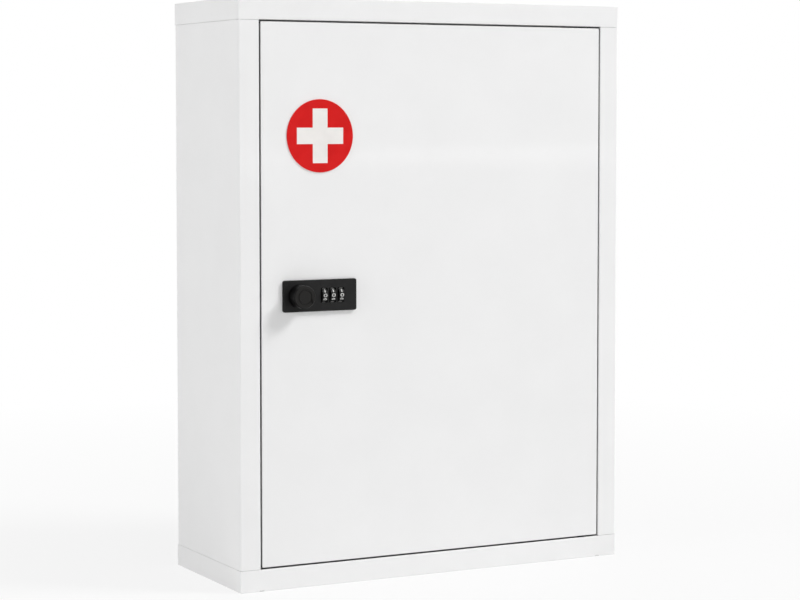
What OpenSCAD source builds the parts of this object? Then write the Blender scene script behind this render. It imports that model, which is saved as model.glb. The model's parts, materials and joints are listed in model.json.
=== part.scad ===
// Lockable wall cabinet of folded sheet steel: a flush door on concealed pins,
// with a three-wheel combination lock and a turning knob.
// Origin: centre of the body's base. X to the right, Y to the back, Z up. Millimetres.

/* [Cabinet body] */
// Width of the body
body_w = 400; // [330:5:480]
// Depth of the body, without the lock
body_d = 150; // [135:5:220]
// Height of the body
body_h = 535; // [460:5:700]
// Width of the frame that shows round the door
frame_w = 20; // [18:0.5:28]
// Thickness of the sheet steel
sheet = 1; // [0.8:0.1:1.2]
// Inner radius of the folds on the upright outer edges
side_fold_in = 0.5; // [0.3:0.1:1.5]
// Inner radius of every other fold
small_fold_in = 0.2; // [0.1:0.1:0.4]
// Edge radius of the two caps
cap_edge_r = 0.6; // [0.3:0.1:0.9]
// Seam between a cap and the panels under it
seam_gap = 0.2; // [0.1:0.05:0.6]
// Length of the tabs that tuck into the caps
tab_l = 12; // [8:1:14]
// Length of a tab's root inside the side panel
tab_root = 3; // [2:0.5:6]
// Width of the flange that the back panel is riveted to
back_flange_w = 16; // [14:1:22]
// Distance from the side of the body to the edge of the back panel
back_inset = 1.6; // [1.2:0.2:2.4]

/* [Wall fixing] */
// Radius of the wall-screw holes
wall_hole_r = 3.5; // [2.5:0.5:4.5]
// Distance from each side of the body to the wall-screw holes
wall_hole_from_side = 40; // [25:1:80]
// Distance from the top and bottom of the body to the wall-screw holes
wall_hole_from_end = 67.5; // [40:0.5:120]

/* [Back rivets] */
// Number of rivets on each side
rivet_rows = 5; // [3:1:7]
// Radius of a rivet's shank
rivet_r = 1.6; // [1.2:0.2:2]
// Radius of a rivet's head and of its tail
rivet_head_r = 2.8; // [2.4:0.2:3.2]
// Length of a rivet's tail inside the body
rivet_tail = 1.4; // [1:0.2:2]
// Distance from the top and bottom seam to the nearest rivet
rivet_end = 30; // [20:5:60]

/* [Shelves] */
// Height of the lower shelf's top face
lower_shelf_z = 185; // [150:5:200]
// Height of the upper shelf's top face
upper_shelf_z = 350; // [330:5:380]
// Gap between a shelf and each side wall
shelf_side_gap = 0.8; // [0.5:0.1:1.5]
// Distance from the front of the body to the front of a shelf
shelf_setback = 29; // [28:1:40]
// Height of a shelf's front edge
shelf_lip_h = 15; // [12:1:22]
// Depth of the hem under the front edge
shelf_hem_w = 8; // [5:1:12]
// Height of a shelf's rear edge
shelf_rear_h = 12; // [8:1:16]
// Gap between a shelf and the rivet tails behind it
shelf_back_gap = 0.6; // [0.4:0.1:1.5]
// Width of a shelf bracket's upper leg
bracket_w = 12; // [10:1:18]
// Height of a shelf bracket's upright leg
bracket_h = 12; // [8:1:18]
// Thickness of a shelf bracket
bracket_t = 1.2; // [1:0.1:2]
// Distance from a bracket's ends to the shelf's front and rear edges
bracket_end_gap = 3; // [2:0.5:8]

/* [Door] */
// Gap between the door and the frame
door_gap = 1.5; // [1.3:0.1:2]
// Depth of the folded door
door_depth = 16; // [15:0.5:18]
// Width of the inner lip round the back of the door
door_lip_w = 10; // [6:1:13]
// Radius of the door's edges
door_edge_r = 0.6; // [0.3:0.1:0.9]
// Gap between the back of the door and the stop lips
stop_gap = 1.5; // [1.3:0.1:2]
// Width of the stop lips on the frame
stop_lip_w = 10; // [8:1:11]
// Width of the door stiffener's crown
stiffener_w = 30; // [20:2:50]
// Width of each foot of the door stiffener
stiffener_foot_w = 10; // [6:1:14]
// Depth of the door stiffener
stiffener_depth = 12; // [8:0.5:12.5]
// Thickness of the door stiffener
stiffener_t = 0.8; // [0.6:0.1:1.2]
// Distance from the middle of the door to the middle of the stiffener
stiffener_offset = 35; // [10:5:60]
// Gap between the ends of the door stiffener and the door's edges
stiffener_end_gap = 1; // [0.5:0.5:3]
// Radius of the soft pads on the stop lips
buffer_r = 3.5; // [2.5:0.25:3.75]
// Gap between the soft pads and the closed door
buffer_gap = 0.3; // [0.2:0.1:0.5]
// Distance from the ends of the upright stop lip to the soft pads
buffer_end = 40; // [25:5:80]
// Distance from the lock side of the opening to the pads on the level lips
buffer_across = 80; // [30:5:200]

/* [Hinge] */
// Distance from the door's hinge edge to the hinge axis
pivot_inset = 14; // [13.5:0.5:18]
// Distance from the front of the door to the hinge axis
pivot_depth = 5.6; // [5.4:0.1:5.8]
// Radius of the hinge pins
pin_r = 2.5; // [2:0.1:2.8]
// Length of a pin inside its block
pin_root = 12; // [8:1:13]
// Running clearance of the pins in their bushes, on the radius
pin_clearance = 0.05; // [0.02:0.01:0.1]
// Wall of the hinge bushes
bush_wall = 1.3; // [1:0.1:1.4]
// How far the flange of a bush stands out from its barrel
bush_flange_w = 0.9; // [0.5:0.1:0.9]
// Gap between the flange of a bush and the door
bush_gap = 0.3; // [0.2:0.1:0.4]
// Thickness of the plates that carry the bushes
hinge_plate_t = 3; // [2:0.5:5]
// Width of the plates that carry the bushes
hinge_plate_w = 28; // [20:1:29]
// How far a bush stands out past its plate
bush_proud = 0.5; // [0.2:0.1:1]
// How far a hinge pin stands out past its bush
pin_proud = 0.5; // [0.2:0.1:1.5]
// Size of the steel blocks that hold the pins, across the door
pin_block_w = 20; // [14:1:26]
// Size of the steel blocks that hold the pins, through the door
pin_block_d = 12; // [10:0.5:12.5]
// Height of the steel blocks that hold the pins
pin_block_h = 14; // [14:1:20]

/* [Emblem] */
// Diameter of the disc
emblem_d = 66.2; // [40:0.2:80]
// Thickness of the disc
emblem_t = 0.8; // [0.4:0.1:1.5]
// Distance from the door's lock edge to the middle of the disc
emblem_from_edge = 58.2; // [45:0.2:80]
// Distance from the top of the door to the middle of the disc
emblem_from_top = 102.2; // [60:0.2:120]
// Width of the cross
cross_w = 46.4; // [20:0.2:50]
// Height of the cross
cross_h = 49.4; // [20:0.2:50]
// Width of the arms of the cross
cross_arm = 14.8; // [8:0.2:18]

/* [Lock plate and case] */
// Width of the lock plate
plate_w = 73.6; // [73.6:0.2:84]
// Height of the lock plate
plate_h = 28.8; // [27:0.2:36]
// How far the lock plate stands out from the door
plate_t = 3; // [2.6:0.1:3.6]
// Corner radius of the lock plate
plate_corner_r = 2.2; // [1.5:0.1:4]
// Bevel round the front of the lock plate
plate_bevel = 0.6; // [0.3:0.1:1]
// Wall behind the front of the lock plate
plate_wall = 1.4; // [1:0.1:1.6]
// Distance from the door's lock edge to the lock plate
plate_from_edge = 20.3; // [17:0.1:30]
// Distance from the bottom of the door to the middle of the lock
lock_from_bottom = 245.1; // [220:0.1:260]
// Solid length at each end of the lock, for its screws
lock_end = 8.2; // [7.8:0.1:8.4]
// Height of the hollow inside the lock
lock_hollow_h = 22; // [20:0.5:22]
// How much smaller the case is than the plate, on each side
case_inset = 0.8; // [0.4:0.1:0.8]
// Thickness of the case's rear wall
case_floor = 1.5; // [1:0.1:2]
// Radius of the lock screws
lock_screw_r = 1.5; // [1.25:0.05:1.6]
// Radius of the lock screws' heads
lock_screw_head_r = 2.75; // [2.4:0.05:2.9]
// Height of the lock screws' heads
lock_screw_head_h = 2; // [1.5:0.1:2.2]
// How deep the lock screws' heads lie in the case
lock_screw_sink = 0.2; // [0.1:0.1:0.4]
// Length of thread that a lock screw has in the plate
lock_screw_bite = 2; // [1.5:0.1:2.2]

/* [Knob and cam] */
// Distance from the end of the lock plate to the knob's axis
knob_inset = 15.3; // [15:0.1:16]
// Radius of the knob
knob_r = 10.5; // [9:0.1:12]
// Height of the knob above the plate
knob_h = 13.5; // [10:0.5:18]
// Gap between the knob and the plate
knob_gap = 0.3; // [0.2:0.1:0.5]
// Bevel round the front of the knob
knob_bevel = 0.8; // [0.3:0.1:1.5]
// Radius of the ring groove in the knob's face
knob_ring_r = 6.4; // [5.5:0.1:7]
// Width and depth of the ring groove
knob_ring_w = 0.7; // [0.4:0.1:1]
// Length of the index mark in the knob's face
index_l = 4; // [2:0.2:5]
// Width and depth of the index mark
index_w = 1.2; // [0.6:0.1:1.6]
// Distance from the knob's axis to the index mark, across
index_dx = 6.6; // [5:0.1:7.5]
// Distance from the knob's axis down to the index mark
index_dz = 4; // [2:0.1:4.5]
// Radius of the spindle
spindle_r = 4; // [3.5:0.1:4.5]
// Running clearance of the spindle, on the radius
spindle_clearance = 0.05; // [0.02:0.01:0.1]
// Radius of the boss round the spindle behind the plate
spindle_boss_r = 6.4; // [5.5:0.1:6.6]
// How far that boss reaches behind the front of the door
spindle_boss_reach = 3; // [1.5:0.5:6]
// Length of the spindle inside the knob
spindle_socket = 8; // [6:0.5:9]
// Radius of the collar that keeps the spindle in the case
collar_r = 6; // [5.2:0.1:7]
// Thickness of the collar
collar_t = 2.2; // [1.5:0.1:3]
// Side of the spindle's square end
square_side = 5.4; // [4.6:0.1:5.6]
// Length of the cam from the axis to its tip
cam_l = 34; // [31:0.5:35]
// Width of the cam
cam_w = 14; // [12:0.5:16]
// Thickness of the cam
cam_t = 2; // [1.5:0.1:2.5]
// Gap between the case and the cam
cam_gap = 0.8; // [0.5:0.1:1.2]
// Thickness of the strike plate
strike_t = 1.2; // [0.8:0.1:2]
// Height of the strike plate
strike_h = 54; // [46:2:80]
// Gap between the strike plate and the cam
cam_play = 0.5; // [0.3:0.1:1]
// Radius of the cam screw
cam_screw_r = 1.65; // [1.4:0.05:1.8]
// Radius of the cam screw's head
cam_screw_head_r = 3.8; // [3:0.1:4.5]
// Height of the cam screw's head
cam_screw_head_h = 2.4; // [1.8:0.1:2.8]
// Length of the cam screw's thread
cam_screw_l = 8; // [6:0.5:10]
// Radius of the washer under the cam screw
washer_r = 5.5; // [5:0.1:6.5]
// Thickness of the washer under the cam screw
washer_t = 1; // [0.6:0.1:1.2]

/* [Number wheels] */
// Radius of a number wheel
wheel_r = 7; // [6.6:0.1:7.1]
// Width of a number wheel
wheel_w = 5; // [4:0.1:5.2]
// Distance from one number wheel to the next
wheel_pitch = 8.45; // [8.4:0.05:8.6]
// Distance from the end of the lock plate to the middle wheel
middle_wheel_inset = 49.1; // [49:0.05:49.4]
// How far the wheels stand out from the plate
wheel_proud = 2.7; // [2.2:0.1:2.8]
// Bevel on the rims of the number wheels
wheel_bevel = 0.3; // [0.1:0.1:0.5]
// Radius of the grooves between the numbers
wheel_groove_r = 0.55; // [0.3:0.05:0.8]
// Distance from a wheel's rim out to the middle of each groove
wheel_groove_out = 0.18; // [0:0.02:0.3]
// Numbers on a wheel
wheel_numbers = 10; // [10]
// Gap between a wheel and its window, across
window_gap = 0.85; // [0.5:0.05:0.9]
// Height of the windows
window_h = 13.4; // [13.4:0.1:15]
// Radius of the wheel axle
axle_r = 1.2; // [1:0.1:1.3]
// Running clearance of the wheels on the axle, on the radius
wheel_clearance = 0.06; // [0.03:0.01:0.1]
// Thickness of the ears that hold the axle
ear_t = 2; // [1.5:0.1:2]
// Height of the ears that hold the axle
ear_h = 7; // [6:0.5:9]
// Gap between the ears and the wheels
ear_gap = 0.6; // [0.3:0.1:0.6]
// Gap between the code rings and the inside of the plate
ring_gap = 0.35; // [0.3:0.05:0.5]
// Thickness of the code rings
ring_t = 2.4; // [2:0.1:2.6]
// Width of the gate in a code ring
gate_w = 1.8; // [1.4:0.1:2.2]
// Depth of the gate in a code ring
gate_depth = 0.6; // [0.4:0.1:0.7]
// Thickness of the release bar
bar_t = 1.5; // [1:0.1:2]
// Height of the release bar
bar_h = 4; // [3:0.5:6]
// Gap between the release bar and the wheels
bar_gap = 0.5; // [0.4:0.1:0.8]
// Gap between the bar's teeth and the code rings
tooth_gap = 0.3; // [0.3:0.1:0.6]
// Width of the bar's teeth along the axle
tooth_w = 1.6; // [1:0.1:1.6]
// Height of the bar's teeth
tooth_h = 1.4; // [1:0.1:1.4]
// Thickness of the detent spring
spring_t = 0.5; // [0.3:0.1:0.6]
// Height of the detent spring's foot
spring_foot_h = 2; // [1.5:0.1:3]
// Width of the detent spring's fingers
finger_w = 3; // [2:0.1:4]
// Gap between the fingers and the wheels
finger_gap = 0.45; // [0.3:0.05:0.6]
// Angle behind and below the axle at which the fingers meet the wheels
finger_angle = 34.5; // [30:0.5:38]

/* [Hidden] */
$fn = 48;

// Body faces
left_x = -body_w / 2;
front_y = -body_d / 2;
back_y = body_d / 2;
flange_y = back_y - sheet;
side_fold_r = sheet + side_fold_in;
small_fold_r = sheet + small_fold_in;
panel_b = frame_w + seam_gap;
panel_t = body_h - frame_w - seam_gap;
// How far a cut runs past the face that it starts from
over = 1;

// Rivets sit in the middle of the flat part of the flange
rivet_x = left_x + (back_inset + back_flange_w) / 2;
rivet_step = (panel_t - panel_b - 2 * rivet_end) / (rivet_rows - 1);
rivet_z = [for (i = [0:rivet_rows - 1]) panel_b + rivet_end + i * rivet_step];
wall_hole_x = [left_x + wall_hole_from_side, -left_x - wall_hole_from_side];
wall_hole_z = [wall_hole_from_end, body_h - wall_hole_from_end];

// Shelf edges
shelf_front_y = front_y + shelf_setback;
shelf_back_y = flange_y - sheet - rivet_tail - shelf_back_gap;
shelf_w = body_w - 2 * sheet - 2 * shelf_side_gap;

// Door opening and door
opening_l = left_x + frame_w;
opening_r = -opening_l;
opening_b = frame_w;
opening_t = body_h - frame_w;
door_l = opening_l + door_gap;
door_r = opening_r - door_gap;
door_b = opening_b + door_gap;
door_t = opening_t - door_gap;
door_w = door_r - door_l;
door_h = door_t - door_b;
door_rear_y = front_y + door_depth;
skin_y = front_y + sheet;
lip_y = door_rear_y + stop_gap;
lip_rear_y = lip_y + sheet;

// Hinge
pivot_x = door_r - pivot_inset;
pivot_y = front_y + pivot_depth;
// Radius swept by the rear edge of the door beside the hinge
rear_sweep_r = norm([pivot_inset, door_depth - pivot_depth]);
lip_end_x = pivot_x - rear_sweep_r - door_gap;
bush_bore_r = pin_r + pin_clearance;
bush_r = bush_bore_r + bush_wall;
bush_flange_t = door_gap - bush_gap;
bush_top = opening_t + sheet + hinge_plate_t + bush_proud;

// Strike, cam and the depth of the lock
strike_w = stop_lip_w + sheet;
cam_y = lip_rear_y + strike_t + cam_play;
case_rear_y = cam_y - cam_gap;
case_floor_y = case_rear_y - case_floor;

// Lock places
plate_l = door_l + plate_from_edge;
plate_r = plate_l + plate_w;
lock_z = door_b + lock_from_bottom;
plate_front_y = front_y - plate_t;
plate_inner_y = plate_front_y + plate_wall;
hollow_l = plate_l + lock_end;
hollow_r = plate_r - lock_end;
lock_screw_x = [plate_l + lock_end / 2 + case_inset / 2, plate_r - lock_end / 2 - case_inset / 2];
lock_screw_head_y = case_rear_y - lock_screw_head_h - lock_screw_sink;
knob_x = plate_l + knob_inset;
knob_back_y = plate_front_y - knob_gap;
knob_front_y = plate_front_y - knob_h;
spindle_front_y = knob_back_y - spindle_socket;
cam_rear_y = cam_y + cam_t;
washer_rear_y = cam_rear_y + washer_t;

// Number wheels
wheel_y = plate_front_y - wheel_proud + wheel_r;
ring_r = wheel_y - plate_inner_y - ring_gap;
middle_wheel_x = plate_l + middle_wheel_inset;
wheel_x = [for (i = [-1:1]) middle_wheel_x + i * wheel_pitch];
ring_left = [for (x = wheel_x) x + wheel_w / 2];
ear_left_x = wheel_x[0] - wheel_w / 2 - ear_gap - ear_t;
ear_right_x = ring_left[2] + ring_t + ear_gap;
window_w = wheel_w + 2 * window_gap;
bar_front_y = wheel_y + wheel_r + bar_gap;
bar_rear_y = bar_front_y + bar_t;
bar_l = ear_left_x - ear_t;
bar_r = ear_right_x + ear_t;

// Colours
white_coat = [0.93, 0.93, 0.93];
black_metal = [0.17, 0.17, 0.17];
bright_steel = [0.72, 0.73, 0.75];

// A rectangle between two corners
module strip(x0, y0, x1, y1) {
  translate([x0, y0]) square([x1 - x0, y1 - y0]);
}

// A quarter of a folded corner; quarter 0 is at +x +y, then counter-clockwise
module fold(cx, cy, r, quarter) {
  translate([cx, cy]) rotate(90 * quarter) intersection() {
    difference() {
      circle(r);
      circle(r - sheet);
    }
    square(r);
  }
}

// Extrudes a section drawn in X and Y
module along_z(z0, z1) {
  translate([0, 0, z0]) linear_extrude(z1 - z0) children();
}

// Extrudes a section drawn in X and Z
module along_y(y0, y1) {
  translate([0, y1, 0]) rotate([90, 0, 0]) linear_extrude(y1 - y0) children();
}

// Extrudes a section drawn in Y and Z
module along_x(x0, x1) {
  translate([x0, 0, 0]) rotate([90, 0, 90]) linear_extrude(x1 - x0) children();
}

// A cylinder along Y
module rod_y(x, z, y0, y1, r) {
  translate([x, y0, z]) rotate([-90, 0, 0]) cylinder(h = y1 - y0, r = r);
}

// A cylinder along X, on the axle's line
module rod_x(x0, x1, r) {
  translate([x0, wheel_y, lock_z]) rotate([0, 90, 0]) cylinder(h = x1 - x0, r = r);
}

// A rectangle with rounded corners, from its lowest corner
module rounded_rect(w, h, r) {
  strip(r, 0, w - r, h);
  strip(0, r, w, h - r);
  for (x = [r, w - r], y = [r, h - r]) translate([x, y]) circle(r);
}

// A block with every edge rounded, from its lowest corner
module rounded_block(w, d, h, r) {
  intersection() {
    along_z(0, h) rounded_rect(w, d, r);
    along_y(0, d) rounded_rect(w, h, r);
    along_x(0, w) rounded_rect(d, h, r);
  }
}

// Turns what is drawn for the top of the body over to its bottom
module to_bottom() {
  translate([0, 0, body_h]) mirror([0, 0, 1]) children();
}

// Top sheet and skirts of a cap, without the return over the door opening
module cap_tray() {
  rim_z = body_h - frame_w;
  difference() {
    translate([left_x, front_y, rim_z - cap_edge_r])
      rounded_block(body_w, body_d, frame_w + cap_edge_r, cap_edge_r);
    translate([left_x - over, front_y - over, rim_z - cap_edge_r - over])
      cube([body_w + 2 * over, body_d + 2 * over, cap_edge_r + over]);
    translate([left_x + sheet, skin_y, rim_z - over])
      cube([body_w - 2 * sheet, body_d - 2 * sheet, frame_w - sheet + over]);
    translate([opening_l, front_y - over, rim_z - over])
      cube([opening_r - opening_l, sheet + over, small_fold_r + over]);
  }
}

// Section of a cap's fold and return, in Y and Z
module cap_return_section() {
  fold(front_y + small_fold_r, opening_t + small_fold_r, small_fold_r, 2);
  strip(front_y + small_fold_r, opening_t, lip_rear_y - small_fold_r, opening_t + sheet);
}

// Section of a cap's stop lip, in Y and Z
module cap_lip_section() {
  fold(lip_rear_y - small_fold_r, opening_t + sheet - small_fold_r, small_fold_r, 0);
  strip(lip_y, opening_t - stop_lip_w, lip_rear_y, opening_t + sheet - small_fold_r);
}

module cap() {
  difference() {
    union() {
      cap_tray();
      along_x(opening_l, opening_r) cap_return_section();
      along_x(opening_l + stop_lip_w + seam_gap, lip_end_x) cap_lip_section();
    }
    translate([pivot_x, pivot_y, opening_t - over]) cylinder(h = sheet + 2 * over, r = bush_r);
  }
}

module top_cap() {
  color(white_coat) cap();
}

module bottom_cap() {
  color(white_coat) to_bottom() cap();
}

// Section of the left side panel in X and Y; the right one is its mirror image
module side_section(with_lip) {
  lip_turn_y = with_lip ? lip_rear_y - small_fold_r : lip_rear_y;
  strip(left_x, front_y + side_fold_r, left_x + sheet, flange_y - side_fold_r);
  fold(left_x + side_fold_r, front_y + side_fold_r, side_fold_r, 2);
  strip(left_x + side_fold_r, front_y, opening_l - small_fold_r, skin_y);
  fold(opening_l - small_fold_r, front_y + small_fold_r, small_fold_r, 3);
  strip(opening_l - sheet, front_y + small_fold_r, opening_l, lip_turn_y);
  fold(left_x + side_fold_r, flange_y - side_fold_r, side_fold_r, 1);
  strip(left_x + side_fold_r, flange_y - sheet, left_x + back_flange_w, flange_y);
  if (with_lip) {
    fold(opening_l - sheet + small_fold_r, lip_turn_y, small_fold_r, 1);
    strip(opening_l - sheet + small_fold_r, lip_y, opening_l + stop_lip_w, lip_rear_y);
  }
}

// Joggled tabs at one end of a side panel, in X and Y
module tab_section() {
  tab_margin = side_fold_r + sheet;
  strip(left_x + sheet, front_y + tab_margin, left_x + 2 * sheet, flange_y - tab_margin);
  strip(left_x + tab_margin, skin_y, opening_l - sheet - small_fold_r, skin_y + sheet);
}

module side_panel(with_lip) {
  difference() {
    union() {
      along_z(panel_b, panel_t) side_section(with_lip);
      along_z(panel_b - tab_l, panel_b + tab_root) tab_section();
      along_z(panel_t - tab_root, panel_t + tab_l) tab_section();
    }
    for (z = rivet_z) rod_y(rivet_x, z, flange_y - sheet - over, flange_y + over, rivet_r);
  }
}

module left_side_panel() {
  color(white_coat) side_panel(true);
}

module right_side_panel() {
  color(white_coat) mirror([1, 0, 0]) side_panel(false);
}

// Countersunk head of a rivet, and the hole for it
module rivet_head(x, z) {
  translate([x, flange_y, z]) rotate([-90, 0, 0]) cylinder(h = sheet, r1 = rivet_r, r2 = rivet_head_r);
}

module back_panel() {
  color(white_coat) difference() {
    translate([left_x + back_inset, flange_y, panel_b])
      cube([body_w - 2 * back_inset, sheet, panel_t - panel_b]);
    for (x = wall_hole_x, z = wall_hole_z) rod_y(x, z, flange_y - over, back_y + over, wall_hole_r);
    for (side = [-1, 1], z = rivet_z) rivet_head(side * rivet_x, z);
  }
}

module back_rivets() {
  inner_y = flange_y - sheet;
  color(bright_steel) for (side = [-1, 1], z = rivet_z) {
    rivet_head(side * rivet_x, z);
    rod_y(side * rivet_x, z, inner_y, flange_y, rivet_r);
    rod_y(side * rivet_x, z, inner_y - rivet_tail, inner_y, rivet_head_r);
  }
}

// Section of a shelf in Y and Z, its top face at z
module shelf_section(z) {
  front = shelf_front_y + small_fold_r;
  back = shelf_back_y - small_fold_r;
  hem_z = z - shelf_lip_h;
  strip(front, z - sheet, back, z);
  fold(front, z - small_fold_r, small_fold_r, 1);
  strip(shelf_front_y, hem_z + small_fold_r, shelf_front_y + sheet, z - small_fold_r);
  fold(front, hem_z + small_fold_r, small_fold_r, 2);
  strip(front, hem_z, front + shelf_hem_w, hem_z + sheet);
  fold(back, z - small_fold_r, small_fold_r, 0);
  strip(shelf_back_y - sheet, z - shelf_rear_h, shelf_back_y, z - small_fold_r);
}

module upper_shelf() {
  color(white_coat) along_x(-shelf_w / 2, shelf_w / 2) shelf_section(upper_shelf_z);
}

module lower_shelf() {
  color(white_coat) along_x(-shelf_w / 2, shelf_w / 2) shelf_section(lower_shelf_z);
}

// The two angle brackets on the left wall, under the shelves
module shelf_brackets() {
  wall_x = left_x + sheet;
  bracket_front = shelf_front_y + small_fold_r + shelf_hem_w + bracket_end_gap;
  bracket_back = shelf_back_y - sheet - bracket_end_gap;
  for (z = [lower_shelf_z - sheet, upper_shelf_z - sheet]) along_y(bracket_front, bracket_back) {
    strip(wall_x, z - bracket_h, wall_x + bracket_t, z);
    strip(wall_x, z - bracket_t, wall_x + bracket_w, z);
  }
}

module left_shelf_brackets() {
  color(white_coat) shelf_brackets();
}

module right_shelf_brackets() {
  color(white_coat) mirror([1, 0, 0]) shelf_brackets();
}

// Plate above the top return, round the bush
module hinge_plate() {
  plate_front = front_y + small_fold_r + small_fold_in;
  plate_end = lip_rear_y - small_fold_r;
  difference() {
    translate([pivot_x - hinge_plate_w / 2, plate_front, opening_t + sheet])
      cube([hinge_plate_w, plate_end - plate_front, hinge_plate_t]);
    translate([pivot_x, pivot_y, opening_t]) cylinder(h = sheet + hinge_plate_t + over, r = bush_r);
  }
}

module upper_hinge_plate() {
  color(bright_steel) hinge_plate();
}

module lower_hinge_plate() {
  color(bright_steel) to_bottom() hinge_plate();
}

// Flanged bush, its flange in the gap over the door
module hinge_bush() {
  translate([pivot_x, pivot_y, 0]) difference() {
    union() {
      translate([0, 0, opening_t - bush_flange_t])
        cylinder(h = bush_flange_t, r = bush_r + bush_flange_w);
      translate([0, 0, opening_t]) cylinder(h = bush_top - opening_t, r = bush_r);
    }
    translate([0, 0, door_t - over]) cylinder(h = bush_top - door_t + 2 * over, r = bush_bore_r);
  }
}

module upper_hinge_bush() {
  color("black") hinge_bush();
}

module lower_hinge_bush() {
  color("black") to_bottom() hinge_bush();
}

// The cam catches behind this plate on the left stop lip
module strike_plate() {
  color(bright_steel) translate([opening_l, lip_rear_y, lock_z - strike_h / 2])
    cube([strike_w, strike_t, strike_h]);
}

module door_buffers() {
  pad_y = door_rear_y + buffer_gap;
  pad_inset = (stop_lip_w + door_gap) / 2;
  color([0.85, 0.87, 0.88]) {
    for (z = [opening_b + buffer_end, opening_t - buffer_end])
      rod_y(opening_l + pad_inset, z, pad_y, lip_y, buffer_r);
    for (z = [opening_b + pad_inset, opening_t - pad_inset])
      rod_y(opening_l + buffer_across, z, pad_y, lip_y, buffer_r);
  }
}

// Hollow of the lock in X and Z, also cut from the door's skin
module lock_hollow_section() {
  strip(hollow_l, lock_z - lock_hollow_h / 2, hollow_r, lock_z + lock_hollow_h / 2);
}

module door_panel() {
  hollow_d = door_depth - 2 * sheet;
  color(white_coat) difference() {
    translate([door_l, front_y, door_b]) difference() {
      rounded_block(door_w, door_depth, door_h, door_edge_r);
      translate([sheet, sheet, sheet]) cube([door_w - 2 * sheet, hollow_d, door_h - 2 * sheet]);
      translate([door_lip_w, hollow_d, door_lip_w])
        cube([door_w - 2 * door_lip_w, door_depth, door_h - 2 * door_lip_w]);
    }
    along_y(front_y - over, skin_y + over) lock_hollow_section();
    for (x = lock_screw_x) rod_y(x, lock_z, front_y - over, skin_y + over, lock_screw_r);
    translate([pivot_x, pivot_y, door_b - over]) cylinder(h = sheet + 2 * over, r = pin_r);
    translate([pivot_x, pivot_y, door_t - sheet - over]) cylinder(h = sheet + 2 * over, r = pin_r);
  }
}

// Hat channel on the inside of the door's skin
module door_stiffener() {
  crown_l = (door_l + door_r) / 2 + stiffener_offset - stiffener_w / 2;
  crown_r = crown_l + stiffener_w;
  crown_y = skin_y + stiffener_depth;
  end_gap = sheet + stiffener_end_gap;
  color(white_coat) along_z(door_b + end_gap, door_t - end_gap) {
    strip(crown_l - stiffener_foot_w, skin_y, crown_l + stiffener_t, skin_y + stiffener_t);
    strip(crown_l, skin_y, crown_l + stiffener_t, crown_y);
    strip(crown_l, crown_y - stiffener_t, crown_r, crown_y);
    strip(crown_r - stiffener_t, skin_y, crown_r, crown_y);
    strip(crown_r - stiffener_t, skin_y, crown_r + stiffener_foot_w, skin_y + stiffener_t);
  }
}

// Steel block in the door's top corner, drilled for the pin
module pin_block() {
  block_top = door_t - sheet;
  difference() {
    translate([pivot_x - pin_block_w / 2, skin_y, block_top - pin_block_h])
      cube([pin_block_w, pin_block_d, pin_block_h]);
    translate([pivot_x, pivot_y, door_t - pin_root]) cylinder(h = pin_root, r = pin_r);
  }
}

module upper_pin_block() {
  color(bright_steel) pin_block();
}

module lower_pin_block() {
  color(bright_steel) to_bottom() pin_block();
}

module hinge_pin() {
  pin_top = bush_top + pin_proud;
  translate([pivot_x, pivot_y, door_t - pin_root]) cylinder(h = pin_top - door_t + pin_root, r = pin_r);
}

module upper_hinge_pin() {
  color(bright_steel) hinge_pin();
}

module lower_hinge_pin() {
  color(bright_steel) to_bottom() hinge_pin();
}

// The cross in X and Z, from its middle
module cross_section() {
  square([cross_w, cross_arm], center = true);
  square([cross_arm, cross_h], center = true);
}

// Puts what is drawn in X and Z onto the emblem's place on the door
module on_emblem(y0, y1) {
  translate([door_l + emblem_from_edge, 0, door_t - emblem_from_top]) along_y(y0, y1) children();
}

module emblem_disc() {
  color([0.84, 0.14, 0.14]) on_emblem(front_y - emblem_t, front_y) difference() {
    circle(d = emblem_d);
    cross_section();
  }
}

module emblem_cross() {
  color([0.92, 0.91, 0.9]) on_emblem(front_y - emblem_t, front_y) cross_section();
}

// Solid lock plate with a bevelled front
module plate_blank() {
  low_z = lock_z - plate_h / 2;
  high_z = lock_z + plate_h / 2;
  bevel_y = plate_front_y + plate_bevel;
  intersection() {
    translate([plate_l, 0, low_z]) along_y(plate_front_y, front_y)
      rounded_rect(plate_w, plate_h, plate_corner_r);
    along_z(low_z, high_z) polygon([
      [plate_l, front_y], [plate_l, bevel_y], [plate_l + plate_bevel, plate_front_y],
      [plate_r - plate_bevel, plate_front_y], [plate_r, bevel_y], [plate_r, front_y]
    ]);
    along_x(plate_l, plate_r) polygon([
      [front_y, low_z], [bevel_y, low_z], [plate_front_y, low_z + plate_bevel],
      [plate_front_y, high_z - plate_bevel], [bevel_y, high_z], [front_y, high_z]
    ]);
  }
}

// Ear behind the plate that holds one end of the axle
module axle_ear(x) {
  translate([x, plate_inner_y - plate_wall / 2, lock_z - ear_h / 2])
    cube([ear_t, wheel_y + ear_h / 2 - plate_inner_y + plate_wall / 2, ear_h]);
}

module lock_plate() {
  boss_end_y = front_y + spindle_boss_reach;
  color(black_metal) difference() {
    union() {
      difference() {
        plate_blank();
        along_y(plate_inner_y, front_y + over) lock_hollow_section();
        for (x = lock_screw_x) rod_y(x, lock_z, front_y - lock_screw_bite, front_y + over, lock_screw_r);
      }
      rod_y(knob_x, lock_z, plate_inner_y - plate_wall / 2, boss_end_y, spindle_boss_r);
      axle_ear(ear_left_x);
      axle_ear(ear_right_x);
    }
    rod_y(knob_x, lock_z, plate_front_y - over, boss_end_y + over, spindle_r + spindle_clearance);
    for (x = wheel_x)
      translate([x - window_w / 2, plate_front_y - over, lock_z - window_h / 2])
        cube([window_w, plate_wall + over, window_h]);
    rod_x(ear_left_x - over, ear_right_x + ear_t + over, axle_r);
  }
}

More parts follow.
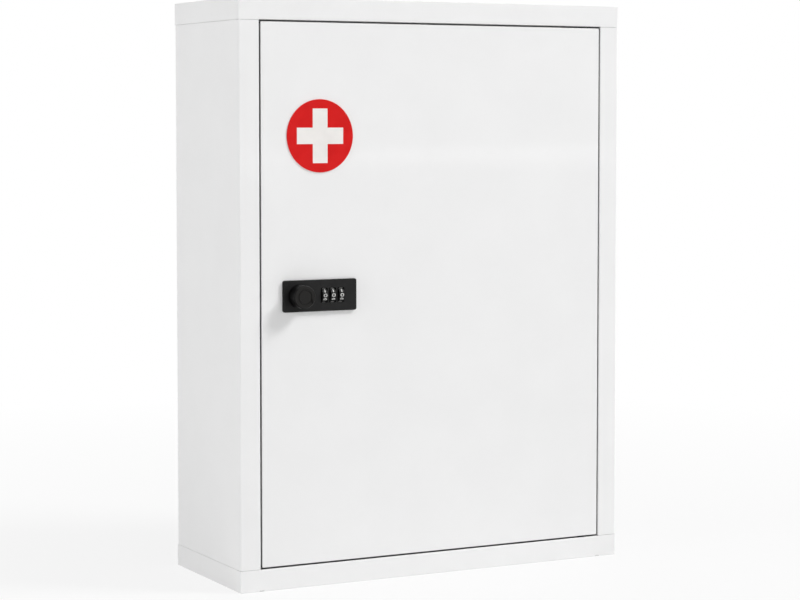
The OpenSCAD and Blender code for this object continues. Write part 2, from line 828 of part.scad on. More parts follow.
// Post in the case that the release bar rests on
module bar_post(x) {
  translate([x, bar_rear_y, lock_z - bar_h / 2]) cube([ear_t, case_floor_y - bar_rear_y, bar_h]);
}

module lock_case() {
  case_w = plate_w - 2 * case_inset;
  case_h = plate_h - 2 * case_inset;
  color(black_metal) {
    difference() {
      translate([plate_l + case_inset, 0, lock_z - case_h / 2]) along_y(skin_y, case_rear_y)
        rounded_rect(case_w, case_h, plate_corner_r);
      along_y(skin_y - over, case_floor_y) lock_hollow_section();
      rod_y(knob_x, lock_z, case_floor_y - over, case_rear_y + over, spindle_r + spindle_clearance);
      for (x = lock_screw_x) {
        rod_y(x, lock_z, skin_y - over, case_rear_y + over, lock_screw_r);
        rod_y(x, lock_z, lock_screw_head_y, case_rear_y + over, lock_screw_head_r);
      }
    }
    bar_post(bar_l);
    bar_post(bar_r - ear_t);
  }
}

module lock_screws() {
  socket_r = lock_screw_head_r / 2;
  color(bright_steel) for (x = lock_screw_x) difference() {
    union() {
      rod_y(x, lock_z, front_y - lock_screw_bite, lock_screw_head_y, lock_screw_r);
      rod_y(x, lock_z, lock_screw_head_y, lock_screw_head_y + lock_screw_head_h, lock_screw_head_r);
    }
    translate([x, lock_screw_head_y + lock_screw_head_h / 2, lock_z]) rotate([-90, 0, 0])
      cylinder(h = lock_screw_head_h, r = socket_r, $fn = 6);
  }
}

module wheel_axle() {
  color(bright_steel) rod_x(ear_left_x, ear_right_x + ear_t, axle_r);
}

// One finger of the detent spring in Y and Z, from the base to beside the wheel
module finger_section() {
  foot = [case_floor_y - spring_t / 2, lock_z - lock_hollow_h / 2 + spring_foot_h - spring_t];
  reach = wheel_r + finger_gap + spring_t;
  tip = [wheel_y + reach * cos(finger_angle), lock_z - reach * sin(finger_angle)];
  run = tip - foot;
  translate(foot) rotate(atan2(run[1], run[0])) translate([0, -spring_t / 2])
    square([norm(run), spring_t]);
}

module detent_spring() {
  base_l = wheel_x[0] - wheel_w / 2;
  base_z = lock_z - lock_hollow_h / 2;
  color(bright_steel) {
    translate([base_l, case_floor_y - spring_t, base_z])
      cube([2 * wheel_pitch + wheel_w, spring_t, spring_foot_h]);
    for (x = wheel_x) along_x(x - finger_w / 2, x + finger_w / 2) finger_section();
  }
}

// Toothed bar that stands clear of the code rings, in its released place
module release_bar() {
  tooth_y = wheel_y + ring_r + tooth_gap;
  color(bright_steel) {
    translate([bar_l, bar_front_y, lock_z - bar_h / 2]) cube([bar_r - bar_l, bar_t, bar_h]);
    for (x = ring_left)
      translate([x + ring_t / 2 - tooth_w / 2, tooth_y, lock_z - tooth_h / 2])
        cube([tooth_w, bar_front_y - tooth_y + bar_t / 2, tooth_h]);
  }
}

// Turned shape of the knob about its own axis, front face up
module knob_blank() {
  knob_l = knob_back_y - knob_front_y;
  rotate_extrude() difference() {
    polygon([
      [0, 0], [knob_r, 0], [knob_r, knob_l - knob_bevel], [knob_r - knob_bevel, knob_l], [0, knob_l]
    ]);
    translate([knob_ring_r - knob_ring_w / 2, knob_l - knob_ring_w]) square([knob_ring_w, knob_ring_w + over]);
  }
}

module lock_knob() {
  color(black_metal) difference() {
    translate([knob_x, knob_back_y, lock_z]) rotate([90, 0, 0]) knob_blank();
    rod_y(knob_x, lock_z, spindle_front_y, knob_back_y + over, spindle_r);
    translate([knob_x + index_dx - index_w / 2, knob_front_y - over, lock_z - index_dz - index_l / 2])
      cube([index_w, index_w + over, index_l]);
  }
}

module knob_spindle() {
  round_end_y = case_rear_y + cam_gap / 2;
  collar_y = case_floor_y - knob_gap - collar_t;
  color(bright_steel) difference() {
    union() {
      rod_y(knob_x, lock_z, spindle_front_y, round_end_y, spindle_r);
      rod_y(knob_x, lock_z, collar_y, collar_y + collar_t, collar_r);
      translate([knob_x - square_side / 2, round_end_y - over, lock_z - square_side / 2])
        cube([square_side, cam_rear_y - round_end_y + over, square_side]);
    }
    rod_y(knob_x, lock_z, washer_rear_y - cam_screw_l, cam_rear_y + over, cam_screw_r);
  }
}

// Cam in X and Z from its axis, pointing down
module cam_section() {
  tip_z = cam_w / 2 - cam_l;
  difference() {
    union() {
      circle(d = cam_w);
      strip(-cam_w / 2, tip_z, cam_w / 2, 0);
      translate([0, tip_z]) circle(d = cam_w);
    }
    square(square_side, center = true);
  }
}

module lock_cam() {
  color(bright_steel) translate([knob_x, 0, lock_z]) along_y(cam_y, cam_rear_y) cam_section();
}

module cam_washer() {
  color(bright_steel) difference() {
    rod_y(knob_x, lock_z, cam_rear_y, washer_rear_y, washer_r);
    rod_y(knob_x, lock_z, cam_rear_y - over, washer_rear_y + over, cam_screw_r);
  }
}

module cam_screw() {
  head_end_y = washer_rear_y + cam_screw_head_h;
  socket_r = cam_screw_head_r / 2;
  color(bright_steel) difference() {
    union() {
      rod_y(knob_x, lock_z, washer_rear_y - cam_screw_l, washer_rear_y, cam_screw_r);
      rod_y(knob_x, lock_z, washer_rear_y, head_end_y, cam_screw_head_r);
    }
    translate([knob_x, head_end_y - cam_screw_head_h / 2, lock_z]) rotate([-90, 0, 0])
      cylinder(h = cam_screw_head_h, r = socket_r, $fn = 6);
  }
}

// One number wheel; a groove lies between each two numbers
module number_wheel(i) {
  groove_at = wheel_r + wheel_groove_out;
  color("black") translate([wheel_x[i] - wheel_w / 2, wheel_y, lock_z]) rotate([0, 90, 0]) difference() {
    rotate_extrude() polygon([
      [0, 0], [wheel_r - wheel_bevel, 0], [wheel_r, wheel_bevel],
      [wheel_r, wheel_w - wheel_bevel], [wheel_r - wheel_bevel, wheel_w], [0, wheel_w]
    ]);
    translate([0, 0, -over]) cylinder(h = wheel_w + 2 * over, r = axle_r + wheel_clearance);
    for (k = [0:wheel_numbers - 1])
      rotate(90 + (k + 0.5) * 360 / wheel_numbers) translate([groove_at, 0, -over])
        cylinder(h = wheel_w + 2 * over, r = wheel_groove_r);
  }
}

module left_number_wheel() {
  number_wheel(0);
}

module middle_number_wheel() {
  number_wheel(1);
}

module right_number_wheel() {
  number_wheel(2);
}

// Ring beside a number wheel, its gate towards the release bar
module code_ring(i) {
  color(bright_steel) difference() {
    rod_x(ring_left[i], ring_left[i] + ring_t, ring_r);
    rod_x(ring_left[i] - over, ring_left[i] + ring_t + over, axle_r + wheel_clearance);
    translate([ring_left[i] - over, wheel_y + ring_r - gate_depth, lock_z - gate_w / 2])
      cube([ring_t + 2 * over, gate_depth + over, gate_w]);
  }
}

module left_code_ring() {
  code_ring(0);
}

module middle_code_ring() {
  code_ring(1);
}

module right_code_ring() {
  code_ring(2);
}

top_cap();
bottom_cap();
left_side_panel();
right_side_panel();
back_panel();
back_rivets();
upper_shelf();
lower_shelf();
left_shelf_brackets();
right_shelf_brackets();
upper_hinge_plate();
lower_hinge_plate();
upper_hinge_bush();
lower_hinge_bush();
strike_plate();
door_buffers();
door_panel();
door_stiffener();
upper_pin_block();
lower_pin_block();
upper_hinge_pin();
lower_hinge_pin();
emblem_disc();
emblem_cross();
lock_plate();
lock_case();
lock_screws();
wheel_axle();
detent_spring();
release_bar();
lock_knob();
knob_spindle();
lock_cam();
cam_washer();
cam_screw();
left_number_wheel();
middle_number_wheel();
right_number_wheel();
left_code_ring();
middle_code_ring();
right_code_ring();
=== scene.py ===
"""Looks of the lockable wall cabinet: materials, wheel numbers, floor, light and camera.

Metres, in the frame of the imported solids: origin at the centre of the body's base, X to the
right, Y to the back, Z up.
"""

import json
import math

import bmesh
import bpy
from mathutils import Matrix, Vector

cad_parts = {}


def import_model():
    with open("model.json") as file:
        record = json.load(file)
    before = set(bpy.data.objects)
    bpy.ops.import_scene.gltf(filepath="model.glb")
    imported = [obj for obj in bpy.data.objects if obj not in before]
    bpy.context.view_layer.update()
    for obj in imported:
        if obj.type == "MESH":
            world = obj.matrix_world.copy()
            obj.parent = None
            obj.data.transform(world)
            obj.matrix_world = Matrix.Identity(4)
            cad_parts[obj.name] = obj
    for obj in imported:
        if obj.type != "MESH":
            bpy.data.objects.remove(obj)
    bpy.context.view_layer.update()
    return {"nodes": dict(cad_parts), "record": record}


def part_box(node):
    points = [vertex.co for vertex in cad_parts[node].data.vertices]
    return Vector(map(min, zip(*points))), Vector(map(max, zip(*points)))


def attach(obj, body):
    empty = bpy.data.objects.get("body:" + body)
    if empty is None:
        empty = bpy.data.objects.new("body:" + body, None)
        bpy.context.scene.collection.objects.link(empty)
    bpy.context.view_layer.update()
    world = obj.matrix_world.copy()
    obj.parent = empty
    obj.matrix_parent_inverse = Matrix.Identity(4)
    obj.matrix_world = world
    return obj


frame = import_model()

MM = 0.001

# ---------------------------------------------------------------- sizes

CAMERA_PLACE = Vector((-1.0093, -1.9231, 0.4273))
CAMERA_YAW = math.radians(27.719)
CAMERA_PITCH = math.radians(3.389)
CAMERA_LENS = 101.73
CAMERA_SENSOR = 36.0
CAMERA_SHIFT_Y = -0.06
CAMERA_NEAR = 0.05
CAMERA_FAR = 200.0

# Noise rarely leaves the first span; the second one gives cloudy patches firmer edges.
GRAIN_LOW = 0.3
GRAIN_HIGH = 0.7
CLOUD_LOW = 0.35
CLOUD_HIGH = 0.65

COAT_WEIGHT = 0.08
COAT_ROUGHNESS = 0.03
SPECK_SHARE = 0.25

# Width of the painted shade on each end of the lock plate.
PLATE_END_SHADE = 0.6 * MM
# Painted shade on the knob's side and outer rim: where it starts, and how softly it sets in.
KNOB_SHADE_RIM = 0.6 * MM
KNOB_SHADE_RIM_BLEND = 0.4 * MM
KNOB_LINE_STEP = 0.35 * MM
KNOB_LINE_SHARE = 0.3

PAD_CLEARNESS = 0.35
PAD_IOR = 1.45

WHEEL_RADIUS = 7.0 * MM
NUMBERS_ON_WHEEL = 10
NUMBER_HEIGHT = 3.3 * MM
NUMBER_WIDTH = 3.9 * MM
NUMBER_THICKNESS = 0.05 * MM
NUMBER_SINK = 0.01 * MM
NUMBER_BOLD = 0.02
NUMBER_WIDEN = 1.5
NUMBER_CURVE_STEPS = 6
CUT_STEP = 0.3 * MM
MERGE_REACH = 0.001 * MM

# The seam lies under the top cap's skirt, with painted shade along it. The gap's shade starts
# behind the door's front.
SEAM_FROM_TOP = 20.2 * MM
SEAM_SHADE_REACH = 1.2 * MM
SEAM_SHADE = 0.05
DOOR_GAP = 1.5 * MM
GAP_HALF = 2.3 * MM
GAP_REACH = 3.0 * MM
GAP_CLOSED = 0.35
GAP_OPEN = 0.75
GAP_SHADE_FULL = 5.0 * MM
GAP_SHADE_GONE = 10.0 * MM
UPRIGHT_GAP_SHADE = 0.6

FLOOR_HALF = 40.0
FLOOR_NEAR = 0.25
FLOOR_FAR = 1.3
FLOOR_WHITE = 0.82
FLOOR_TONE = 0.78

AIM = Vector((0.0, -0.05, 0.27))
KEY_WAY = Vector((1.45, -1.0, 1.6)).normalized()
FILL_WAY = Vector((-0.95, -0.10, 0.2)).normalized()
FRONT_WAY = Vector((-0.1, -1.0, 0.1)).normalized()
BACK_WAY = Vector((0.1, 1.0, 0.12)).normalized()
LAMP_DISTANCE = 9.0
KEY_SIZE = 2.75
FILL_SIZE = 4.2
KEY_POWER = 516.0
FILL_POWER = 282.0
FRONT_POWER = 101.0
BACK_POWER = 160.0
SKY = 0.39
STRIP_START = Vector((2.186, -5.872, 0.281))
STRIP_END = Vector((1.562, -1.959, 0.358))
STRIP_HEIGHT = 0.0445
STRIP_POWER = 4.6


# ---------------------------------------------------------------- material helpers

def linear(value):
    """An sRGB level from 0 to 255 as a linear value."""
    level = value / 255
    if level <= 0.04045:
        return level / 12.92
    return ((level + 0.055) / 1.055) ** 2.4


def colour(red, green, blue):
    return (linear(red), linear(green), linear(blue), 1.0)


def new_material(name, roughness, metallic=0.0, gloss=0.5):
    """A material with one Principled shader; returns the material, its tree and the shader."""
    material = bpy.data.materials.new(name)
    material.use_nodes = True
    tree = material.node_tree
    tree.nodes.clear()
    output = tree.nodes.new("ShaderNodeOutputMaterial")
    shader = tree.nodes.new("ShaderNodeBsdfPrincipled")
    shader.inputs["Roughness"].default_value = roughness
    shader.inputs["Metallic"].default_value = metallic
    shader.inputs["Specular IOR Level"].default_value = gloss
    tree.links.new(shader.outputs["BSDF"], output.inputs["Surface"])
    return material, tree, shader


def place(tree, stretch=(1.0, 1.0, 1.0)):
    """The object's own coordinates, in metres, stretched along each axis."""
    source = tree.nodes.new("ShaderNodeTexCoord")
    mapping = tree.nodes.new("ShaderNodeMapping")
    mapping.inputs["Scale"].default_value = stretch
    tree.links.new(source.outputs["Object"], mapping.inputs["Vector"])
    return mapping.outputs["Vector"]


def noise(tree, where, grain, detail=2.0):
    """Noise whose spots are about grain metres wide."""
    node = tree.nodes.new("ShaderNodeTexNoise")
    node.inputs["Scale"].default_value = 1.0 / grain
    node.inputs["Detail"].default_value = detail
    tree.links.new(where, node.inputs["Vector"])
    return node.outputs["Fac"]


def ramp(tree, value, low, high, out_low=0.0, out_high=1.0):
    """Maps value from low..high to out_low..out_high, and holds it there."""
    node = tree.nodes.new("ShaderNodeMapRange")
    node.inputs["From Min"].default_value = low
    node.inputs["From Max"].default_value = high
    node.inputs["To Min"].default_value = out_low
    node.inputs["To Max"].default_value = out_high
    tree.links.new(value, node.inputs["Value"])
    return node.outputs["Result"]


def spread(tree, grain, low=0.0, high=1.0):
    """Maps noise from its usual span to low..high."""
    return ramp(tree, grain, GRAIN_LOW, GRAIN_HIGH, low, high)


def clouding(tree, where, size, detail=2.0):
    """Soft patches about size metres wide, from 0 to 1."""
    return ramp(tree, noise(tree, where, size, detail), CLOUD_LOW, CLOUD_HIGH)


def math_node(tree, operation, first, second=None):
    node = tree.nodes.new("ShaderNodeMath")
    node.operation = operation
    for index, value in enumerate((first, second)):
        if value is None:
            continue
        if isinstance(value, (int, float)):
            node.inputs[index].default_value = value
        else:
            tree.links.new(value, node.inputs[index])
    return node.outputs["Value"]


def vector_node(tree, operation, first, second=None):
    """A vector operation on a link and, where it takes two, a plain vector."""
    node = tree.nodes.new("ShaderNodeVectorMath")
    node.operation = operation
    tree.links.new(first, node.inputs[0])
    if second is not None:
        node.inputs[1].default_value = second
    return node


def mix(tree, factor, first, second):
    """A blend of two colours by factor."""
    node = tree.nodes.new("ShaderNodeMix")
    node.data_type = "RGBA"
    tree.links.new(factor, node.inputs["Factor"])
    for name, value in (("A", first), ("B", second)):
        socket = next(s for s in node.inputs if s.name == name and s.type == "RGBA")
        if isinstance(value, tuple):
            socket.default_value = value
        else:
            tree.links.new(value, socket)
    return next(s for s in node.outputs if s.type == "RGBA")


def bump(tree, shader, height, depth):
    """Adds a relief of depth metres to the shader."""
    node = tree.nodes.new("ShaderNodeBump")
    node.inputs["Distance"].default_value = depth
    node.inputs["Strength"].default_value = 1.0
    tree.links.new(height, node.inputs["Height"])
    tree.links.new(node.outputs["Normal"], shader.inputs["Normal"])


def surface(tree, shader, tone, rough, relief, depth):
    """Gives the shader a tone, a roughness and a relief of depth metres."""
    tree.links.new(tone, shader.inputs["Base Color"])
    tree.links.new(rough, shader.inputs["Roughness"])
    bump(tree, shader, relief, depth)


def axis_value(tree, where, axis):
    node = tree.nodes.new("ShaderNodeSeparateXYZ")
    tree.links.new(where, node.inputs["Vector"])
    return node.outputs[axis]


def distance(tree, value, middle):
    """How far value is from middle, either way."""
    return math_node(tree, "ABSOLUTE", math_node(tree, "SUBTRACT", value, middle))


def band(tree, value, middle, half_width):
    """1 at middle, falling to 0 at half_width on either side."""
    return ramp(tree, distance(tree, value, middle), 0.0, half_width, 1.0, 0.0)


def within(tree, value, middle, half_width):
    """1 within half_width of middle, 0 elsewhere."""
    return math_node(tree, "LESS_THAN", distance(tree, value, middle), half_width)


def open_share(tree, reach):
    """How open a place is to its surroundings within reach metres: 1 in the open, 0 in a slot."""
    node = tree.nodes.new("ShaderNodeAmbientOcclusion")
    node.samples = 4
    node.inputs["Distance"].default_value = reach
    return node.outputs["AO"]


def seen_directly(tree):
    """1 for rays from the camera, from a mirror or through a clear piece, 0 for the others."""
    rays = tree.nodes.new("ShaderNodeLightPath").outputs
    seen = math_node(tree, "MAXIMUM", rays["Is Camera Ray"], rays["Is Glossy Ray"])
    return math_node(tree, "MAXIMUM", seen, rays["Is Transmission Ray"])


# ---------------------------------------------------------------- materials

def slot_shade(tree, where):
    """1 on the paint just inside the door's gap while the door is shut, 0 elsewhere."""
    low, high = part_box("door_panel")
    across = math_node(tree, "ABSOLUTE", axis_value(tree, where, "X"))
    upright = within(tree, across, high.x + DOOR_GAP / 2, GAP_HALF)
    zone = math_node(tree, "MULTIPLY", upright, UPRIGHT_GAP_SHADE)
    for middle in (low.z - DOOR_GAP / 2, high.z + DOOR_GAP / 2):
        level = within(tree, axis_value(tree, where, "Z"), middle, GAP_HALF)
        zone = math_node(tree, "MAXIMUM", zone, level)
    shade_start = low.y + GAP_SHADE_FULL
    shade_end = low.y + GAP_SHADE_GONE
    depth = ramp(tree, axis_value(tree, where, "Y"), shade_start, shade_end, 1.0, 0.0)
    narrow = ramp(tree, open_share(tree, GAP_REACH), GAP_CLOSED, GAP_OPEN, 1.0, 0.0)
    return math_node(tree, "MULTIPLY", math_node(tree, "MULTIPLY", zone, depth), narrow)


def seam_dust(tree, where):
    """A faint share of painted shade on the paint along the top seam."""
    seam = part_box("top_cap")[1].z - SEAM_FROM_TOP
    near = band(tree, axis_value(tree, where, "Z"), seam, SEAM_SHADE_REACH)
    return math_node(tree, "MULTIPLY", near, SEAM_SHADE)


def white_powder_coat():
    """Smooth powder coat: fine orange peel, faint clouding and specks, painted shade along the top
    seam and in the door's gap.
    """
    material, tree, shader = new_material("white_powder_coat", roughness=0.42, gloss=0.25)
    shader.inputs["Coat Weight"].default_value = COAT_WEIGHT
    shader.inputs["Coat Roughness"].default_value = COAT_ROUGHNESS
    where = place(tree)
    specks = spread(tree, noise(tree, where, 0.6 * MM, 1.0), 0.0, SPECK_SHARE)
    tone = mix(tree, clouding(tree, where, 60 * MM, 3.0),
               colour(238, 238, 238), colour(240, 240, 240))
    tone = mix(tree, specks, tone, colour(232, 232, 232))
    # Painted shade: a faint grey line along the top seam.
    tone = mix(tree, seam_dust(tree, where), tone, colour(170, 170, 170))
    tone = mix(tree, slot_shade(tree, where), tone, colour(36, 36, 36))
    rough = spread(tree, noise(tree, where, 25 * MM), 0.38, 0.46)
    surface(tree, shader, tone, rough, noise(tree, where, 1.4 * MM), 0.006 * MM)
    return material


def black_lock_coat():
    """Satin black coat on die-cast metal, with a fine sandy grain and painted shade on the plate's
    ends.
    """
    material, tree, shader = new_material("black_lock_coat", roughness=0.42, gloss=0.15)
    where = place(tree)
    grain = noise(tree, where, 0.25 * MM)
    tone = mix(tree, clouding(tree, where, 9 * MM), colour(27, 27, 27), colour(32, 32, 32))
    low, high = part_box("lock_plate")
    off = distance(tree, axis_value(tree, where, "X"), (low.x + high.x) / 2)
    half = (high.x - low.x) / 2
    # Painted shade: the plate's ends go near black.
    tone = mix(tree, ramp(tree, off, half - PLATE_END_SHADE, half), tone, colour(4, 4, 4))
    surface(tree, shader, tone, spread(tree, grain, 0.36, 0.5), grain, 0.004 * MM)
    return material


def knob_coat():
    """The knob's coat: black, with faint turned lines round its axis and painted shade on its rim
    and side.
    """
    material, tree, shader = new_material("black_knob_coat", roughness=0.4, gloss=0.15)
    low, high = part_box("lock_knob")
    middle = (low + high) / 2
    from_axis = vector_node(tree, "SUBTRACT", place(tree), (middle.x, 0.0, middle.z))
    flat = vector_node(tree, "MULTIPLY", from_axis.outputs["Vector"], (1.0, 0.0, 1.0))
    radius = vector_node(tree, "LENGTH", flat.outputs["Vector"]).outputs["Value"]
    turns = math_node(tree, "MULTIPLY", radius, 2 * math.pi / KNOB_LINE_STEP)
    lines = math_node(tree, "MULTIPLY", math_node(tree, "SINE", turns), KNOB_LINE_SHARE)
    grain = noise(tree, from_axis.outputs["Vector"], 0.3 * MM)
    tone = mix(tree, spread(tree, grain), colour(26, 25, 24), colour(33, 32, 31))
    # Painted shade: the knob's side and outer rim go near black.
    rim_shade_start = (high.x - low.x) / 2 - KNOB_SHADE_RIM
    rim_shade = ramp(tree, radius, rim_shade_start, rim_shade_start + KNOB_SHADE_RIM_BLEND)
    tone = mix(tree, rim_shade, tone, colour(2, 2, 2))
    relief = math_node(tree, "ADD", lines, grain)
    surface(tree, shader, tone, spread(tree, grain, 0.36, 0.46), relief, 0.004 * MM)
    return material


def wheel_plastic():
    """Semi-gloss black plastic of the number wheels."""
    material, tree, shader = new_material("black_wheel_plastic", roughness=0.35, gloss=0.15)
    grain = noise(tree, place(tree), 0.4 * MM)
    tone = mix(tree, spread(tree, grain), colour(22, 22, 22), colour(30, 30, 30))
    surface(tree, shader, tone, spread(tree, grain, 0.3, 0.42), grain, 0.003 * MM)
    return material


def number_paint():
    """White paint of the numbers, a little uneven and rubbed."""
    material, tree, shader = new_material("number_paint", roughness=0.5)
    rub = ramp(tree, noise(tree, place(tree), 0.5 * MM, 3.0), CLOUD_LOW, GRAIN_HIGH)
    tone = mix(tree, rub, colour(208, 208, 206), colour(178, 178, 175))
    tree.links.new(tone, shader.inputs["Base Color"])
    bump(tree, shader, rub, 0.004 * MM)
    return material


def metal(name, dark, light, rough_low, rough_high, stretch, grain_size):
    """Bare metal with a rolled or plated grain that runs along the axis stretch shortens."""
    material, tree, shader = new_material(name, rough_low, metallic=1.0)
    grain = noise(tree, place(tree, stretch), grain_size, 4.0)
    patches = spread(tree, noise(tree, place(tree), 7 * MM, 3.0))
    rough = spread(tree, grain, rough_low, rough_high)
    surface(tree, shader, mix(tree, patches, dark, light), rough, grain, 0.003 * MM)
    return material


def zinc_steel():
    return metal("bright_zinc_steel", colour(176, 178, 182), colour(205, 207, 210),
                 0.28, 0.42, (1.0, 1.0, 0.15), 0.35 * MM)


def spring_steel():
    return metal("spring_steel", colour(150, 152, 156), colour(178, 180, 184),
                 0.22, 0.34, (0.15, 1.0, 1.0), 0.3 * MM)


def black_nylon():
    """Dull black nylon of the hinge bushes."""
    material, tree, shader = new_material("black_nylon", roughness=0.55)
    grain = noise(tree, place(tree), 0.3 * MM)
    tone = mix(tree, spread(tree, grain), colour(18, 18, 18), colour(30, 30, 30))
    surface(tree, shader, tone, spread(tree, grain, 0.48, 0.62), grain, 0.004 * MM)
    return material


def soft_pad():
    """Cloudy clear pad that yields to the door."""
    material, tree, shader = new_material("clear_soft_pad", roughness=0.3)
    shader.inputs["Transmission Weight"].default_value = PAD_CLEARNESS
    shader.inputs["IOR"].default_value = PAD_IOR
    cloud = spread(tree, noise(tree, place(tree), 1.2 * MM, 3.0))
    tone = mix(tree, cloud, colour(214, 219, 222), colour(232, 235, 236))
    surface(tree, shader, tone, ramp(tree, cloud, 0.0, 1.0, 0.25, 0.4), cloud, 0.01 * MM)
    return material


def emblem_plastic(name, dark, light):
    """Smooth semi-gloss plastic with a very faint moulded ripple."""
    material, tree, shader = new_material(name, roughness=0.34, gloss=0.1)
    where = place(tree)
    tone = mix(tree, clouding(tree, where, 14 * MM), dark, light)
    rough = spread(tree, noise(tree, where, 3 * MM), 0.3, 0.38)
    surface(tree, shader, tone, rough, noise(tree, where, 1.0 * MM), 0.003 * MM)
    return material


def red_plastic():
    return emblem_plastic("red_gloss_plastic", colour(207, 25, 25), colour(213, 29, 29))


def white_plastic():
    return emblem_plastic("white_gloss_plastic", colour(235, 232, 229), colour(240, 237, 234))


def set_material(node, material):
    """Makes material the only one of a CAD node."""
    materials = frame["nodes"][node].data.materials
    materials.clear()
    materials.append(material)


def dress_nodes():
    """Gives each CAD node the material of its slot, and the knob a coat of its own."""
    makers = {
        "white_powder_coat": white_powder_coat,
        "black_die_cast": black_lock_coat,
        "black_wheel_plastic": wheel_plastic,
        "bright_zinc_steel": zinc_steel,
        "spring_steel": spring_steel,
        "black_nylon": black_nylon,
        "clear_soft_pad": soft_pad,
        "red_gloss_plastic": red_plastic,
        "white_gloss_plastic": white_plastic,
    }
    made = {slot: maker() for slot, maker in makers.items()}
    for subpart in frame["record"]["subparts"]:
        set_material(subpart["node"], made[subpart["material_slot"]])
    set_material("lock_knob", knob_coat())


# ---------------------------------------------------------------- numbers on the wheels

def flat_number(digit):
    """A digit as a flat mesh centred on its middle, X across and Y up, in metres."""
    curve = bpy.data.curves.new(f"digit_{digit}", "FONT")
    curve.body = str(digit)
    curve.size = 1.0
    curve.offset = NUMBER_BOLD
    curve.resolution_u = NUMBER_CURVE_STEPS
    holder = bpy.data.objects.new(f"digit_{digit}", curve)
    bpy.context.scene.collection.objects.link(holder)
    bpy.context.view_layer.update()
    evaluated = holder.evaluated_get(bpy.context.evaluated_depsgraph_get())
    mesh = bpy.data.meshes.new_from_object(evaluated)
    bpy.data.objects.remove(holder)
    bpy.data.curves.remove(curve)
    corners = [v.co for v in mesh.vertices]
    low = Vector((min(c.x for c in corners), min(c.y for c in corners), 0.0))
    high = Vector((max(c.x for c in corners), max(c.y for c in corners), 0.0))
    middle = (low + high) / 2
    width_share = min(1.0, (high.x - low.x) / (high.y - low.y) * NUMBER_WIDEN)
    scale_x = NUMBER_WIDTH * width_share / (high.x - low.x)
    scale_y = NUMBER_HEIGHT / (high.y - low.y)
    for vertex in mesh.vertices:
        vertex.co.x = (vertex.co.x - middle.x) * scale_x
        vertex.co.y = (vertex.co.y - middle.y) * scale_y
        vertex.co.z = 0.0
    return mesh


def add_number(target, digit, wheel_middle):
    """Bends one digit round the wheel and adds it to the bmesh target."""
    mesh = flat_number(digit)
    piece = bmesh.new()
    piece.from_mesh(mesh)
    bpy.data.meshes.remove(mesh)
    bmesh.ops.remove_doubles(piece, verts=piece.verts, dist=MERGE_REACH)
    steps = int(NUMBER_HEIGHT / CUT_STEP)
    for step in range(1, steps):
        level = -NUMBER_HEIGHT / 2 + step * NUMBER_HEIGHT / steps
        bmesh.ops.bisect_plane(piece, geom=piece.verts[:] + piece.edges[:] + piece.faces[:],
                               plane_co=(0, level, 0), plane_no=(0, 1, 0))
    top = bmesh.ops.extrude_face_region(piece, geom=piece.faces[:])
    for vertex in [g for g in top["geom"] if isinstance(g, bmesh.types.BMVert)]:
        vertex.co.z = NUMBER_THICKNESS
    turn = digit * 2 * math.pi / NUMBERS_ON_WHEEL
    for vertex in piece.verts:
        angle = turn + vertex.co.y / WHEEL_RADIUS
        reach = WHEEL_RADIUS - NUMBER_SINK + vertex.co.z
        around = Vector((vertex.co.x, -reach * math.cos(angle), reach * math.sin(angle)))
        vertex.co = wheel_middle + around
    bmesh.ops.recalc_face_normals(piece, faces=piece.faces)
    bent = bpy.data.meshes.new("bent_digit")
    piece.to_mesh(bent)
    piece.free()
    target.from_mesh(bent)
    bpy.data.meshes.remove(bent)


def wheel_numbers():
    """One piece of raised numbers for each wheel, riding on the wheel's body."""
    paint = number_paint()
    for side in ("left", "middle", "right"):
        low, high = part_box(f"{side}_number_wheel")
        numbers = bmesh.new()
        for digit in range(NUMBERS_ON_WHEEL):
            add_number(numbers, digit, (low + high) / 2)
        mesh = bpy.data.meshes.new(f"{side}_wheel_numbers")
        numbers.to_mesh(mesh)
        numbers.free()
        mesh.materials.append(paint)
        piece = bpy.data.objects.new(f"{side}_wheel_numbers", mesh)
        bpy.context.scene.collection.objects.link(piece)
        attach(piece, f"{side}_wheel")


# ---------------------------------------------------------------- floor, light, camera

def floor_material():
    """Pale floor that keeps the shadow, and is plain white to the camera further out."""
    material = bpy.data.materials.new("pale_floor")
    material.use_nodes = True
    tree = material.node_tree
    tree.nodes.clear()
    output = tree.nodes.new("ShaderNodeOutputMaterial")
    diffuse = tree.nodes.new("ShaderNodeBsdfDiffuse")
    diffuse.inputs["Color"].default_value = (FLOOR_TONE, FLOOR_TONE, FLOOR_TONE, 1.0)
    white = tree.nodes.new("ShaderNodeEmission")
    white.inputs["Color"].default_value = (1.0, 1.0, 1.0, 1.0)
    reach = vector_node(tree, "LENGTH", place(tree)).outputs["Value"]
    far = ramp(tree, reach, FLOOR_NEAR, FLOOR_FAR, FLOOR_WHITE, 1.0)
    blend = tree.nodes.new("ShaderNodeMixShader")
    tree.links.new(math_node(tree, "MULTIPLY", far, seen_directly(tree)), blend.inputs[0])
    tree.links.new(diffuse.outputs["BSDF"], blend.inputs[1])
    tree.links.new(white.outputs["Emission"], blend.inputs[2])
    tree.links.new(blend.outputs["Shader"], output.inputs["Surface"])
    return material


def floor():
    mesh = bpy.data.meshes.new("floor")
    signs = ((-1, -1), (1, -1), (1, 1), (-1, 1))
    corners = [(x * FLOOR_HALF, y * FLOOR_HALF, 0.0) for x, y in signs]
    mesh.from_pydata(corners, [], [(0, 1, 2, 3)])
    mesh.materials.append(floor_material())
    plane = bpy.data.objects.new("floor", mesh)
    bpy.context.scene.collection.objects.link(plane)


def area_light(name, way, size, power, gleam=True):
    """A round soft lamp that faces the aim; without gleam no surface mirrors it."""
    data = bpy.data.lights.new(name, "AREA")
    data.shape = "DISK"
    data.size = size
    data.energy = power
    lamp = bpy.data.objects.new(name, data)
    bpy.context.scene.collection.objects.link(lamp)
    lamp.location = AIM + LAMP_DISTANCE * way
    lamp.rotation_mode = "QUATERNION"
    lamp.rotation_quaternion = (-way).to_track_quat("-Z", "Y")
    lamp.visible_glossy = gleam


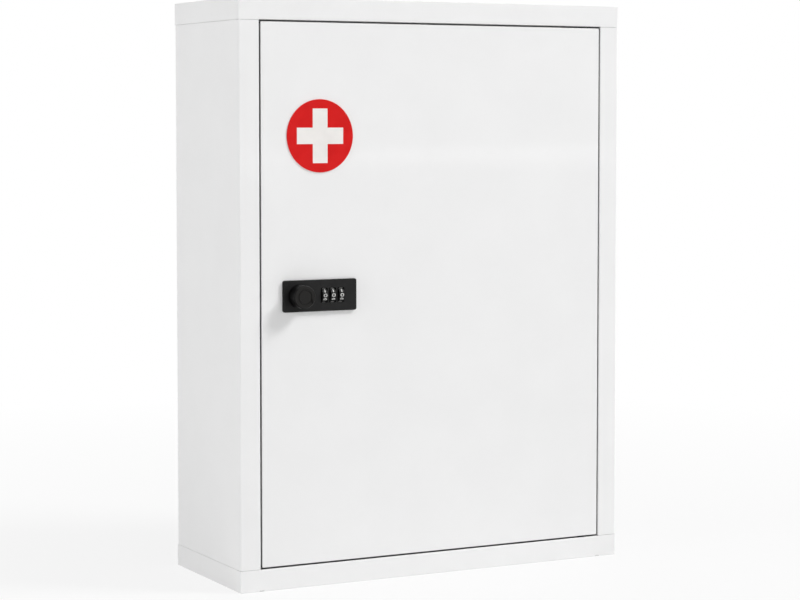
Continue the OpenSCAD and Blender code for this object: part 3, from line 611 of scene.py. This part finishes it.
def strip_light(name, start, end, height, power):
    """A long thin lamp from start to end that faces the cabinet's side of the line."""
    data = bpy.data.lights.new(name, "AREA")
    data.shape = "RECTANGLE"
    data.size = (end - start).length
    data.size_y = height
    data.energy = power
    along = (end - start).normalized()
    back = along.cross(Vector((0, 0, 1))).normalized()
    lamp = bpy.data.objects.new(name, data)
    bpy.context.scene.collection.objects.link(lamp)
    turn = Matrix((along, back.cross(along), back)).transposed().to_4x4()
    lamp.matrix_world = Matrix.Translation((start + end) / 2) @ turn


def world(strength):
    """An even soft sky; the camera and mirror-like surfaces see it as white."""
    sky = bpy.data.worlds.new("soft_sky")
    bpy.context.scene.world = sky
    sky.use_nodes = True
    tree = sky.node_tree
    tree.nodes.clear()
    output = tree.nodes.new("ShaderNodeOutputWorld")
    background = tree.nodes.new("ShaderNodeBackground")
    background.inputs["Color"].default_value = (1.0, 1.0, 1.0, 1.0)
    glow = ramp(tree, seen_directly(tree), 0.0, 1.0, strength, 1.0)
    tree.links.new(glow, background.inputs["Strength"])
    tree.links.new(background.outputs["Background"], output.inputs["Surface"])


def lights():
    area_light("key_light", KEY_WAY, KEY_SIZE, KEY_POWER)
    area_light("side_fill", FILL_WAY, FILL_SIZE, FILL_POWER, gleam=False)
    area_light("front_fill", FRONT_WAY, FILL_SIZE, FRONT_POWER, gleam=False)
    area_light("back_fill", BACK_WAY, FILL_SIZE, BACK_POWER, gleam=False)
    strip_light("strip_light", STRIP_START, STRIP_END, STRIP_HEIGHT, STRIP_POWER)
    world(SKY)


def camera():
    data = bpy.data.cameras.new("camera")
    data.lens = CAMERA_LENS
    data.sensor_width = CAMERA_SENSOR
    data.sensor_fit = "HORIZONTAL"
    data.shift_y = CAMERA_SHIFT_Y
    data.clip_start = CAMERA_NEAR
    data.clip_end = CAMERA_FAR
    ahead = Vector((math.sin(CAMERA_YAW) * math.cos(CAMERA_PITCH),
                    math.cos(CAMERA_YAW) * math.cos(CAMERA_PITCH),
                    -math.sin(CAMERA_PITCH)))
    viewer = bpy.data.objects.new("camera", data)
    bpy.context.scene.collection.objects.link(viewer)
    viewer.rotation_mode = "QUATERNION"
    viewer.rotation_quaternion = ahead.to_track_quat("-Z", "Y")
    viewer.location = CAMERA_PLACE
    bpy.context.scene.camera = viewer


bpy.context.scene.view_settings.view_transform = "Standard"
camera()
dress_nodes()
wheel_numbers()
floor()
lights()
